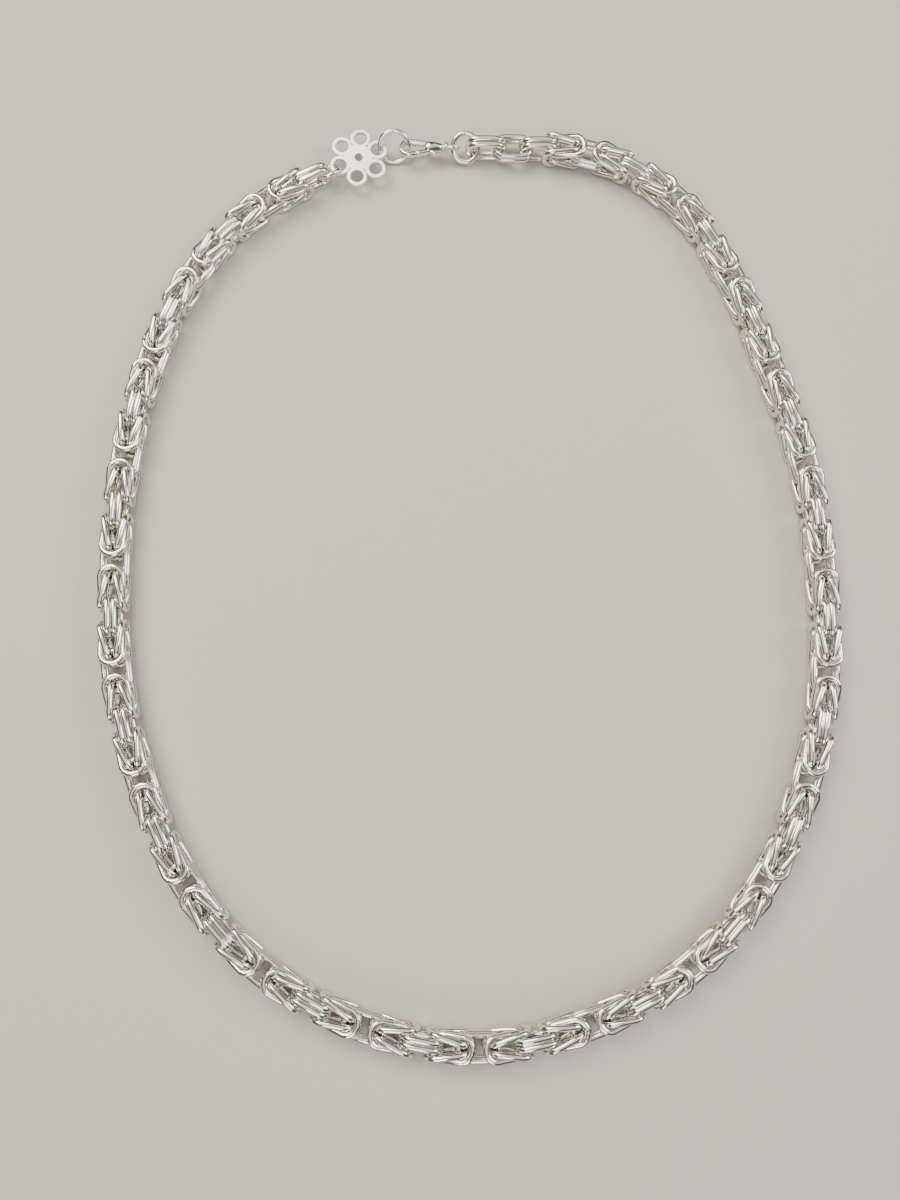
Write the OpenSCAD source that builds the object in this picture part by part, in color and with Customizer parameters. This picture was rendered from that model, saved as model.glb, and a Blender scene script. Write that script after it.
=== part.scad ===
// Silver king's chain necklace, closed by a lobster clasp and lying flat in a whole loop.
// The origin is at the middle of the loop, on the surface that it lies on.
// +X is to the right, +Y points to the clasp and +Z is up. All sizes are in millimetres.

/* [Chain] */
// Diameter of the link wire
wire_d = 1.15; // [1.05:0.01:1.15]
// Outer length of one oval link
link_length = 8.45; // [8.4:0.01:8.5]
// Outer width of one oval link, before its sides are flattened
link_width = 5.45; // [5.4:0.01:5.5]
// Width and height of the knotted chain, to which its links are flattened
chain_width = 5.1; // [5.1:0.05:5.3]
// Distance between the two links of a pair
pair_spacing = 1.22; // [1.2:0.01:1.24]

/* [Rings] */
// Outer diameter of the ring in the clasp's eye
end_ring_d = 6.2; // [6.1:0.05:6.3]
// Wire of the ring in the clasp's eye
end_ring_wire = 1; // [0.9:0.02:1]
// Outer diameter of the ring in the clasp's claw
clasp_ring_d = 6.8; // [6.75:0.05:6.8]
// Wire of the ring in the clasp's claw
clasp_ring_wire = 0.9; // [0.86:0.02:0.9]
// Outer diameter of the ring between the chain and the tag
tag_ring_d = 5.6; // [5.55:0.05:5.65]
// Wire of the ring between the chain and the tag
tag_ring_wire = 0.8; // [0.76:0.02:0.8]

/* [Tag] */
// Outer radius of a petal
petal_r = 2.05; // [2:0.01:2.1]
// Radius of the hole in a petal
petal_hole_r = 1.3; // [1.28:0.01:1.32]
// Distance from the middle of the tag to the middle of a petal
petal_reach = 4.1; // [4.08:0.01:4.12]
// Thickness of the tag
tag_thick = 0.8; // [0.7:0.02:0.82]

/* [Clasp] */
// Outer radius of the claw
claw_r = 2.1; // [2.05:0.05:2.2]
// Radius of the opening in the claw
claw_hole_r = 1.1; // [1.08:0.01:1.12]
// Thickness of the claw and the back
claw_thick = 1.3; // [1.24:0.02:1.34]
// Thickness of the shoulder that holds the lever
shoulder_thick = 2.6; // [2.5:0.05:2.7]
// Thickness of the lever
lever_thick = 1.2; // [1.1:0.05:1.2]
// Radius of the lever's pin
pin_r = 0.3; // [0.28:0.01:0.3]

/* [Hidden] */
silver = "gainsboro";
satin_silver = "whitesmoke";

// Where the chain lies, clockwise from the pair at its right end to the pair at its left end
ROUTE = [[14, 85], [24, 84], [33.5, 80], [41, 74.5], [51.5, 58], [58.5, 39], [64, 19.5], [66, -0.5],
    [65.5, -21], [60.5, -41.5], [51.5, -59], [38, -73], [20, -82], [1, -85.5], [-18.5, -82],
    [-36, -73], [-50, -58.5], [-59, -40.5], [-64.5, -21], [-66, -0.5], [-65, 20], [-61, 39.5],
    [-53, 58], [-42, 70.7], [-31.7, 77.4]];
// Headings of the chain at its right and its left end
head_angle = 0;
foot_angle = 29;
// Steps of the curve between two points of the route
curve_steps = 12;
// Sides and lengths of the tube that stands for the knotted links
tube_sides = 8;
tube_lengths = 44;
// Gap between the tube's ends and the links that they meet
end_gap = 0.1;
// Smoothness of the wires and of the round outlines
wire_fn = 32;
ring_fn = 64;

// Oval links: half of the straight sides, radius of the round ends, half length along the wire's middle
link_straight = (link_length - link_width) / 2;
link_bend = (link_width - wire_d) / 2;
link_reach = link_straight + link_bend;
axis_z = chain_width / 2;
// Distance between two pairs that hang in each other
pair_pitch = 5.4;

// Tangents and curve of the route, as a smooth curve whose pace follows the distance between its points
head_dir = [cos(head_angle), sin(head_angle)];
foot_dir = [cos(foot_angle), sin(foot_angle)];
spans = [for (i = [0:len(ROUTE) - 2]) norm(ROUTE[i + 1] - ROUTE[i])];
slopes = [for (i = [0:len(ROUTE) - 2]) (ROUTE[i + 1] - ROUTE[i]) / spans[i]];
function inner_tangent(i) =
    (slopes[i] * spans[i - 1] + slopes[i - 1] * spans[i]) / (spans[i - 1] + spans[i]);
function tangent(i) =
    i == 0 ? head_dir
    : i == len(ROUTE) - 1 ? foot_dir
    : inner_tangent(i);
function curve_point(i, u) =
    (2 * pow(u, 3) - 3 * u * u + 1) * ROUTE[i]
    + (pow(u, 3) - 2 * u * u + u) * spans[i] * tangent(i)
    + (3 * u * u - 2 * pow(u, 3)) * ROUTE[i + 1]
    + (pow(u, 3) - u * u) * spans[i] * tangent(i + 1);
path = [
    for (i = [0:len(ROUTE) - 2], k = [0:curve_steps - 1]) curve_point(i, k / curve_steps),
    ROUTE[len(ROUTE) - 1]
];

// Distance along the path, and the place and heading at a distance
function running_sum(steps, i = 0, total = 0) =
    i == len(steps) ? [total] : concat([total], running_sum(steps, i + 1, total + steps[i]));
travelled = running_sum([for (i = [0:len(path) - 2]) norm(path[i + 1] - path[i])]);
chain_length = travelled[len(travelled) - 1];
x_by_length = [for (i = [0:len(path) - 1]) [travelled[i], path[i][0]]];
y_by_length = [for (i = [0:len(path) - 1]) [travelled[i], path[i][1]]];
function place_at(s) = [lookup(s, x_by_length), lookup(s, y_by_length)];
function heading_at(s) =
    let (
        before = place_at(max(s - 0.5, 0)),
        after = place_at(min(s + 0.5, chain_length))
    )
    atan2(after[1] - before[1], after[0] - before[0]);

// The tube reaches from the pair at one end to the pair at the other
tube_start = link_reach + wire_d / 2 + end_gap;
tube_step = (chain_length - 2 * tube_start) / tube_lengths;
// A flat side of the tube faces down
tube_r = axis_z / cos(180 / tube_sides);

// Ends of the chain
head = ROUTE[0];
foot = ROUTE[len(ROUTE) - 1];

// Rings: radius of the wire's middle, and lean, where a positive lean lifts the side away from the loop
end_ring_r = (end_ring_d - end_ring_wire) / 2;
clasp_ring_r = (clasp_ring_d - clasp_ring_wire) / 2;
tag_ring_r = (tag_ring_d - tag_ring_wire) / 2;
end_ring_lean = 36;
tag_ring_lean = -40;
clasp_ring_lean = 52.4;
// Angles in the plan of the two small rings, and how far they and the tag lie above the chain's middle
tag_ring_angle = 30;
clasp_ring_angle = 1.5;
tag_ring_lift = -0.24;
clasp_ring_lift = 0.257;
tag_lift = -0.17;
// Where a ring's wire passes through the last links that it holds: along them, and across them
end_ring_hook = 1.6;
tag_ring_hook = [1.38, 0.06];
first_pair_shift = -2 * pair_pitch;
foot_side = [-foot_dir[1], foot_dir[0]];
tag_ring_dir = [cos(tag_ring_angle), sin(tag_ring_angle)];
tag_ring_side = [-tag_ring_dir[1], tag_ring_dir[0]];
end_ring_at = head + (first_pair_shift - end_ring_hook - end_ring_r) * head_dir;
tag_ring_at = foot + tag_ring_hook[0] * foot_dir + tag_ring_hook[1] * foot_side + tag_ring_r * tag_ring_dir;

// Clasp: its long axis runs from the middle of the claw to the eye
clasp_angle = 3;
clasp_lean = -7;
shoulder_r = 0.85;
shoulder_x = 6.1;
slot_end_x = 6.5;
shoulder_front = 3.3;
claw_hole_tail_r = 0.45;
claw_hole_tail_x = 3.2;
neck_r = 0.65;
collar_r = 1.05;
collar_x = 7.1;
collar_end_x = 7.8;
eye_r = 1.2;
eye_wire_r = 0.38;
eye_x = 8.65;
// The eye is turned so that the end ring's wire passes straight through it
eye_turn = end_ring_lean - clasp_lean;
slot_height = lever_thick + 0.2;
slot_top_y = 0.6;
pivot = [4.5, -0.3];
pin_fit = 0.01;
lever_fit = 0.03;
lever_gap = 0.05;
lever_hub_r = 0.75;
// The gate's end is an arc about the pin, so that it swings past the claw's tip
gate_r = 3.45;
lever_tip_x = 0.8;
lever_root_x = 3;
nib_r = 0.35;
nib_front = [5, -1.55];
nib_back = [6.15, -1.25];
nib_run = nib_back - nib_front;
clasp_dir = [cos(clasp_angle), sin(clasp_angle)];
// The end ring's wire passes through the eye, a little off its middle
eye_play = 0.08;
clasp_at = end_ring_at - (end_ring_r + eye_play) * head_dir - eye_x * clasp_dir;

// Tag: its left petal hangs in the tag ring and its right one in the clasp ring
petals = 6;
tag_angle = 26;
tag_lean = 1.5;
tag_disc_r = 2.9;
tag_eye_r = 0.8;
tag_dir = [cos(tag_angle), sin(tag_angle)];
// From the middle of the tag ring to the middle of the tag's left hole: along the ring's line, and across it
tag_ring_in_tag = [2.62, -0.11];
tag_at = tag_ring_at + tag_ring_in_tag[0] * tag_ring_dir + tag_ring_in_tag[1] * tag_ring_side
    + petal_reach * tag_dir;

// Clasp ring: its place from halfway between the middle of the tag's right hole and that of the claw
clasp_ring_shift = [0.141, 0.423];
tag_hole_at = tag_at + petal_reach * tag_dir;
clasp_ring_at = (tag_hole_at + clasp_at) / 2 + clasp_ring_shift;

// One oval link in the XY plane, its long side along X and its long sides flattened
module oval_link() {
    intersection() {
        union() {
            for (side = [-1, 1]) {
                translate([side * link_straight, 0, 0])
                    rotate([0, 0, -90 * side])
                        rotate_extrude(angle = 180, $fn = ring_fn)
                            translate([link_bend, 0])
                                circle(d = wire_d, $fn = wire_fn);
                translate([-link_straight, side * link_bend, 0])
                    rotate([0, 90, 0])
                        cylinder(d = wire_d, h = 2 * link_straight, $fn = wire_fn);
            }
        }
        cube([2 * link_length, chain_width, 2 * wire_d], center = true);
    }
}

// A round ring of wire in the XY plane
module wire_ring(r, wire) {
    rotate_extrude($fn = ring_fn)
        translate([r, 0])
            circle(d = wire, $fn = wire_fn);
}

// Puts its children on a line through an end of the chain, a distance along the chain's heading
module along_chain(end, angle, shift) {
    translate([end[0], end[1], axis_z])
        rotate([0, 0, angle])
            translate([shift, 0, 0])
                children();
}

// A link of a standing pair, side by side: side is -1 for the one inside the loop and 1 for the outer one
module standing_link(end, angle, shift, side) {
    color(silver)
        along_chain(end, angle, shift)
            translate([0, side * pair_spacing / 2, 0])
                rotate([90, 0, 0])
                    oval_link();
}

// A link of a lying pair, one above the other
module lying_link(end, angle, shift, side) {
    color(silver)
        along_chain(end, angle, shift)
            translate([0, 0, side * pair_spacing / 2])
                oval_link();
}

// Corners of the tube's outline at a distance along the chain
function tube_ring(s) =
    let (
        at = place_at(s),
        turn = heading_at(s)
    )
    [for (k = [0:tube_sides - 1])
        let (
            a = (k + 0.5) * 360 / tube_sides,
            across = tube_r * cos(a)
        )
        [at[0] - sin(turn) * across, at[1] + cos(turn) * across, axis_z + tube_r * sin(a)]];

// The knotted links' outer form: one tube swept along the route
module chain() {
    rings = tube_lengths + 1;
    points = [for (i = [0:tube_lengths]) each tube_ring(tube_start + i * tube_step)];
    sides = [for (i = [0:rings - 2], k = [0:tube_sides - 1])
        let (next = (k + 1) % tube_sides)
        [i * tube_sides + k, (i + 1) * tube_sides + k, (i + 1) * tube_sides + next, i * tube_sides + next]];
    near_cap = [for (k = [0:tube_sides - 1]) k];
    far_cap = [for (k = [tube_sides - 1:-1:0]) (rings - 1) * tube_sides + k];
    color(silver)
        polyhedron(points = points, faces = concat(sides, [near_cap, far_cap]), convexity = 6);
}

module third_link_front() { standing_link(head, head_angle, 0, -1); }

module third_link_back() { standing_link(head, head_angle, 0, 1); }

module second_link_top() { lying_link(head, head_angle, -pair_pitch, 1); }

module second_link_bottom() { lying_link(head, head_angle, -pair_pitch, -1); }

module first_link_front() { standing_link(head, head_angle, first_pair_shift, -1); }

module first_link_back() { standing_link(head, head_angle, first_pair_shift, 1); }

module last_link_front() { standing_link(foot, foot_angle, 0, -1); }

module last_link_back() { standing_link(foot, foot_angle, 0, 1); }

// A ring at a place of the plan and lifted from the chain's middle, leaning about a line in the plan
module leaning_ring(at, lift, angle, lean, r, wire) {
    color(silver)
        translate([at[0], at[1], axis_z + lift])
            rotate([0, 0, angle])
                rotate([lean, 0, 0])
                    wire_ring(r, wire);
}

module end_ring() {
    leaning_ring(end_ring_at, 0, head_angle, end_ring_lean, end_ring_r, end_ring_wire);
}

module clasp_ring() {
    leaning_ring(clasp_ring_at, clasp_ring_lift, clasp_ring_angle, clasp_ring_lean, clasp_ring_r,
        clasp_ring_wire);
}

module tag_ring() {
    leaning_ring(tag_ring_at, tag_ring_lift, tag_ring_angle, tag_ring_lean, tag_ring_r, tag_ring_wire);
}

// A flat rosette of ring-shaped petals
module tag() {
    color(satin_silver)
        translate([tag_at[0], tag_at[1], axis_z + tag_lift])
            rotate([0, 0, tag_angle])
                rotate([tag_lean, 0, 0])
                    translate([0, 0, -tag_thick / 2])
                        difference() {
                            union() {
                                cylinder(r = tag_disc_r, h = tag_thick, $fn = ring_fn);
                                for (i = [0:petals - 1])
                                    rotate([0, 0, i * 360 / petals])
                                        translate([petal_reach, 0, 0])
                                            cylinder(r = petal_r, h = tag_thick, $fn = ring_fn);
                            }
                            translate([0, 0, -1])
                                cylinder(r = tag_eye_r, h = tag_thick + 2, $fn = ring_fn);
                            for (i = [0:petals - 1])
                                rotate([0, 0, i * 360 / petals])
                                    translate([petal_reach, 0, -1])
                                        cylinder(r = petal_hole_r, h = tag_thick + 2, $fn = ring_fn);
                        }
}

// Puts its children in the clasp's place: the claw's middle at the origin, the eye along +X
module in_clasp() {
    translate([clasp_at[0], clasp_at[1], axis_z])
        rotate([0, 0, clasp_angle])
            rotate([clasp_lean, 0, 0])
                children();
}

// Outline of a drop: a circle at the origin, a smaller one along X and the lines that touch both
module drop(r1, r2, reach) {
    a = acos((r1 - r2) / reach);
    circle(r = r1, $fn = ring_fn);
    translate([reach, 0])
        circle(r = r2, $fn = ring_fn);
    polygon([
        [r1 * cos(a), r1 * sin(a)],
        [reach + r2 * cos(a), r2 * sin(a)],
        [reach + r2 * cos(a), -r2 * sin(a)],
        [r1 * cos(a), -r1 * sin(a)]
    ]);
}

// Half the width of a drop's outline at a place along its straight sides
function drop_half(r1, r2, reach, x) =
    let (a = acos((r1 - r2) / reach))
    (r1 - x * cos(a)) / sin(a);

// An upright block between two corners of the plan
module block(low, high, height) {
    translate([low[0], low[1], -height / 2])
        cube([high[0] - low[0], high[1] - low[1], height]);
}

// Claw, back, shoulder, neck, collar and eye in one piece, with a slot for the lever
module clasp_body() {
    color(silver)
        in_clasp() {
            difference() {
                union() {
                    translate([0, 0, -claw_thick / 2])
                        linear_extrude(claw_thick)
                            drop(claw_r, shoulder_r, shoulder_x);
                    intersection() {
                        translate([0, 0, -shoulder_thick / 2])
                            linear_extrude(shoulder_thick)
                                drop(claw_r, shoulder_r, shoulder_x);
                        block([shoulder_front, -claw_r], [shoulder_x + shoulder_r, claw_r], shoulder_thick);
                    }
                    translate([shoulder_x, 0, 0])
                        rotate([0, 90, 0])
                            cylinder(r = neck_r, h = collar_x - shoulder_x, $fn = wire_fn);
                    translate([collar_x, 0, 0])
                        rotate([0, 90, 0])
                            cylinder(r = collar_r, h = collar_end_x - collar_x, $fn = wire_fn);
                }
                translate([0, 0, -shoulder_thick])
                    linear_extrude(2 * shoulder_thick)
                        drop(claw_hole_r, claw_hole_tail_r, claw_hole_tail_x);
                intersection() {
                    block([0, -2 * claw_r], [shoulder_front, 0], 2 * shoulder_thick);
                    translate([pivot[0], pivot[1], -shoulder_thick])
                        cylinder(r = gate_r, h = 2 * shoulder_thick, $fn = ring_fn);
                }
                block([shoulder_front - 1, -2 * claw_r], [slot_end_x, slot_top_y], slot_height);
                translate([pivot[0], pivot[1], -shoulder_thick])
                    cylinder(r = pin_r + pin_fit, h = 2 * shoulder_thick, $fn = wire_fn);
            }
            translate([eye_x, 0, 0])
                rotate([90 + eye_turn, 0, 0])
                    wire_ring(eye_r, 2 * eye_wire_r);
        }
}

// The rivet that the lever turns on
module clasp_pin() {
    color(silver)
        in_clasp()
            translate([pivot[0], pivot[1], -shoulder_thick / 2])
                cylinder(r = pin_r, h = shoulder_thick, $fn = wire_fn);
}

// Outline of the gate and of the web between its hub and its nib
module lever_arm() {
    polygon([
        [lever_tip_x, -drop_half(claw_r, shoulder_r, shoulder_x, lever_tip_x)],
        [pivot[0] - 0.3, -drop_half(claw_r, shoulder_r, shoulder_x, pivot[0] - 0.3)],
        nib_front + [-nib_r, 0],
        nib_back,
        pivot + [0.6, 0],
        pivot + [-0.1, 0.6],
        [lever_root_x, -drop_half(claw_hole_r, claw_hole_tail_r, claw_hole_tail_x, lever_root_x)],
        [lever_tip_x, -drop_half(claw_hole_r, claw_hole_tail_r, claw_hole_tail_x, lever_tip_x)]
    ]);
}

// The gate with its hub and the nib that the thumb works
module clasp_lever() {
    color(silver)
        in_clasp()
            difference() {
                union() {
                    intersection() {
                        translate([0, 0, -lever_thick / 2])
                            linear_extrude(lever_thick)
                                lever_arm();
                        translate([pivot[0], pivot[1], -lever_thick])
                            cylinder(r = gate_r - lever_gap, h = 2 * lever_thick, $fn = ring_fn);
                    }
                    translate([pivot[0], pivot[1], -lever_thick / 2])
                        cylinder(r = lever_hub_r, h = lever_thick, $fn = ring_fn);
                    translate([0, 0, -lever_thick / 2])
                        linear_extrude(lever_thick)
                            translate(nib_front)
                                rotate(atan2(nib_run[1], nib_run[0]))
                                    drop(nib_r, nib_r, norm(nib_run));
                }
                translate([pivot[0], pivot[1], -lever_thick])
                    cylinder(r = pin_r + lever_fit, h = 2 * lever_thick, $fn = wire_fn);
            }
}

chain();
third_link_front();
third_link_back();
second_link_top();
second_link_bottom();
first_link_front();
first_link_back();
last_link_front();
last_link_back();
end_ring();
tag_ring();
clasp_ring();
tag();
clasp_body();
clasp_pin();
clasp_lever();
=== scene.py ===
"""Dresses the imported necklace: its knotted links, clasp, tag and silver, with the light and the camera."""

import logging
import math
from collections.abc import Callable
from dataclasses import dataclass, field
from enum import Enum

import bpy
from mathutils import Matrix, Vector


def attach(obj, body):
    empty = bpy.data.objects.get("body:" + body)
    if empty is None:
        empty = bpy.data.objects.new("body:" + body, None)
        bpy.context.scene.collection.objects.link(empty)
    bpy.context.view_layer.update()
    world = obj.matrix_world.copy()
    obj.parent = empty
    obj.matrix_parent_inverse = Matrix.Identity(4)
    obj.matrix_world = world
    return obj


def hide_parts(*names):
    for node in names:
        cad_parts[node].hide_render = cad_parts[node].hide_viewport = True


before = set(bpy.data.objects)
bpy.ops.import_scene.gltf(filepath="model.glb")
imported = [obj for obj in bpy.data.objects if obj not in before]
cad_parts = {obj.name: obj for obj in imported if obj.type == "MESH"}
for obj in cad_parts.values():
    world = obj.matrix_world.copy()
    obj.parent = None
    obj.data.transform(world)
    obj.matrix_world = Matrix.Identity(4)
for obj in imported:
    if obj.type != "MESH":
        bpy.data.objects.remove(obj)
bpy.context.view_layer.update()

logging.basicConfig(level=logging.INFO, format="%(message)s")
LOG = logging.getLogger("necklace")

MM = 0.001
# The oval links: the wire, and their size over all
LINK_WIRE = 1.15 * MM
LINK_LENGTH = 8.45 * MM
LINK_WIDTH = 5.45 * MM
# The chain is pressed flat on its four sides, this far from its middle
FLAT_HALF = 2.55 * MM
# Half the distance between the two links of a pair
PAIR_HALF = 0.61 * MM
# Corners closer than this, in millimetres, are leftovers of a cut
SLIVER = 0.002
BODY = "necklace"
LEVER = "lever"


class Side(Enum):
    """The two ways along the chain, seen from a lying pair of links."""

    BACK = -1
    ON = 1


class End(Enum):
    """The two ends of the chain, by their places in the route's list of points."""

    HEAD = 0
    FOOT = -1


class Change(Enum):
    """What a second solid does to the first."""

    CUT = "DIFFERENCE"
    WELD = "UNION"


class Slot(Enum):
    """The record's material slots."""

    POLISHED = "polished_silver"
    SATIN = "satin_silver"


def hex_to_linear(code: str) -> tuple[float, float, float, float]:
    """Turns an sRGB hex colour into linear light.

    Args:
        code: Six hex digits, with or without a leading hash.

    Returns:
        Red, green, blue and alpha, each from 0 to 1.
    """
    digits = code.lstrip("#")
    values = [int(digits[i : i + 2], 16) / 255 for i in (0, 2, 4)]
    linear = [v / 12.92 if v <= 0.04045 else ((v + 0.055) / 1.055) ** 2.4 for v in values]
    return linear[0], linear[1], linear[2], 1.0


def add_node(
    tree: bpy.types.NodeTree,
    kind: str,
    settings: dict[str, object] | None = None,
    **links: bpy.types.NodeSocket,
) -> bpy.types.Node:
    """Adds a node with its settings and its links.

    Args:
        tree: The node tree that gets it.
        kind: The node's type name.
        settings: Input socket names or attributes and their values.
        **links: Input socket names, with underscores for spaces, and the output that feeds each.

    Returns:
        The new node.
    """
    node = tree.nodes.new(kind)
    for key, value in (settings or {}).items():
        if key in node.inputs:
            node.inputs[key].default_value = value
        else:
            setattr(node, key, value)
    for key, source in links.items():
        tree.links.new(source, node.inputs[key.replace("_", " ")])
    return node


def select_only(*objects: bpy.types.Object) -> None:
    """Leaves these objects alone selected, the first of them active.

    Args:
        *objects: The objects to select.
    """
    if bpy.context.mode != "OBJECT":
        bpy.ops.object.mode_set(mode="OBJECT")
    bpy.ops.object.select_all(action="DESELECT")
    for item in objects:
        item.select_set(True)
    bpy.context.view_layer.objects.active = objects[0] if objects else None


def settle(piece: bpy.types.Object) -> bpy.types.Object:
    """Puts a piece's place, turn and scale into its mesh.

    Args:
        piece: The object to settle.

    Returns:
        The same object, at the origin.
    """
    select_only(piece)
    bpy.ops.object.transform_apply(location=True, rotation=True, scale=True)
    return piece


def copy_of(master: bpy.types.Object, place: Matrix) -> bpy.types.Object:
    """Makes a copy with a mesh of its own, with its place in the mesh.

    Args:
        master: The object to copy.
        place: Where the copy goes.

    Returns:
        The copy.
    """
    twin = master.copy()
    twin.data = master.data.copy()
    twin.data.transform(place)
    bpy.context.scene.collection.objects.link(twin)
    return twin


def join(name: str, parts: list[bpy.types.Object]) -> bpy.types.Object:
    """Joins parts into one object.

    Args:
        name: The name of the joined piece.
        parts: The objects to join.

    Returns:
        The joined piece.
    """
    select_only(*parts)
    bpy.ops.object.join()
    piece = bpy.context.view_layer.objects.active
    piece.name = name
    piece.data.name = name
    return piece


def remove(item: bpy.types.Object) -> None:
    """Deletes an object and its mesh.

    Args:
        item: The object to delete.
    """
    mesh = item.data
    bpy.data.objects.remove(item)
    bpy.data.meshes.remove(mesh)


def pick(piece: bpy.types.Object, wanted: Callable[[Vector], bool]) -> None:
    """Opens a piece for editing with some of its corners selected.

    Args:
        piece: The piece to edit.
        wanted: Says of a corner's place whether it is selected.
    """
    select_only(piece)
    bpy.ops.object.mode_set(mode="EDIT")
    bpy.ops.mesh.select_mode(type="VERT")
    bpy.ops.mesh.select_all(action="DESELECT")
    bpy.ops.object.mode_set(mode="OBJECT")
    for vertex in piece.data.vertices:
        vertex.select = wanted(vertex.co)
    bpy.ops.object.mode_set(mode="EDIT")


def press(piece: bpy.types.Object, distance: float, normal: Vector) -> None:
    """Presses a piece flat against a plane.

    Args:
        piece: The piece to press.
        distance: The plane's distance from the origin.
        normal: The way out through the plane.
    """
    select_only(piece)
    turn = normal.rotation_difference(Vector((0, 0, 1))).to_matrix().to_4x4()
    piece.data.transform(turn)
    pick(piece, lambda at: at.z > distance)
    bpy.ops.transform.resize(value=(1, 1, 0), center_override=(0, 0, distance))
    bpy.ops.object.mode_set(mode="OBJECT")
    piece.data.transform(turn.inverted())


def cut_or_weld(piece: bpy.types.Object, tool: bpy.types.Object, how: Change) -> None:
    """Cuts one solid with another or welds the two, and deletes the other.

    Args:
        piece: The solid that stays.
        tool: The solid that cuts it or is welded to it.
        how: Whether it is cut or welded.
    """
    select_only(piece)
    step = piece.modifiers.new("shape", "BOOLEAN")
    step.operation = how.value
    step.solver = "EXACT"
    step.object = tool
    bpy.ops.object.modifier_apply(modifier=step.name)
    remove(tool)


def soften(piece: bpy.types.Object, width: float, segments: int, angle_deg: float) -> None:
    """Rounds a piece's sharp edges.

    Args:
        piece: The piece.
        width: How far the rounding reaches.
        segments: Its steps.
        angle_deg: Only edges sharper than this are rounded.
    """
    select_only(piece)
    step = piece.modifiers.new("soft_edges", "BEVEL")
    step.width = width
    step.segments = segments
    step.limit_method = "ANGLE"
    step.angle_limit = math.radians(angle_deg)
    step.use_clamp_overlap = True
    bpy.ops.object.modifier_apply(modifier=step.name)


def even_shading(piece: bpy.types.Object) -> None:
    """Lets a piece's large flat faces lead its smooth shading.

    Args:
        piece: The dressed piece.
    """
    select_only(piece)
    step = piece.modifiers.new("even_shading", "WEIGHTED_NORMAL")
    step.keep_sharp = True
    bpy.ops.object.modifier_apply(modifier=step.name)


def clean(piece: bpy.types.Object, distance: float) -> None:
    """Merges corners that a cut left close together, drops the slivers between them and turns faces outward.

    Args:
        piece: The piece.
        distance: Corners closer than this are one.
    """
    select_only(piece)
    bpy.ops.object.mode_set(mode="EDIT")
    bpy.ops.mesh.select_all(action="SELECT")
    bpy.ops.mesh.remove_doubles(threshold=distance)
    bpy.ops.mesh.dissolve_degenerate(threshold=distance)
    bpy.ops.mesh.delete_loose()
    bpy.ops.mesh.select_all(action="SELECT")
    bpy.ops.mesh.normals_make_consistent(inside=False)
    bpy.ops.object.mode_set(mode="OBJECT")


def make_round(radius: float, height: float, at: Vector, sides: int) -> bpy.types.Object:
    """Adds an upright round block.

    Args:
        radius: Its radius.
        height: Its height.
        at: Its middle.
        sides: The number of its sides.

    Returns:
        The block.
    """
    select_only()
    bpy.ops.mesh.primitive_cylinder_add(vertices=sides, radius=radius, depth=height, location=at)
    return settle(bpy.context.object)


def seat(piece: bpy.types.Object, place: Matrix) -> None:
    """Takes a piece that was modelled in millimetres to its place in metres, without leftover slivers.

    Args:
        piece: The modelled piece.
        place: Where it goes, in metres.
    """
    clean(piece, SLIVER)
    piece.data.transform(place @ Matrix.Scale(MM, 4))


def lean_place(at: tuple[float, float, float], angle_deg: float, lean_deg: float) -> Matrix:
    """A place that is turned in the plan and then leans about its own X.

    Args:
        at: The place in metres.
        angle_deg: The turn in the plan.
        lean_deg: The lean.

    Returns:
        The matrix of the place.
    """
    turn = Matrix.Rotation(math.radians(angle_deg), 4, "Z")
    return Matrix.Translation(at) @ turn @ Matrix.Rotation(math.radians(lean_deg), 4, "X")


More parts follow.
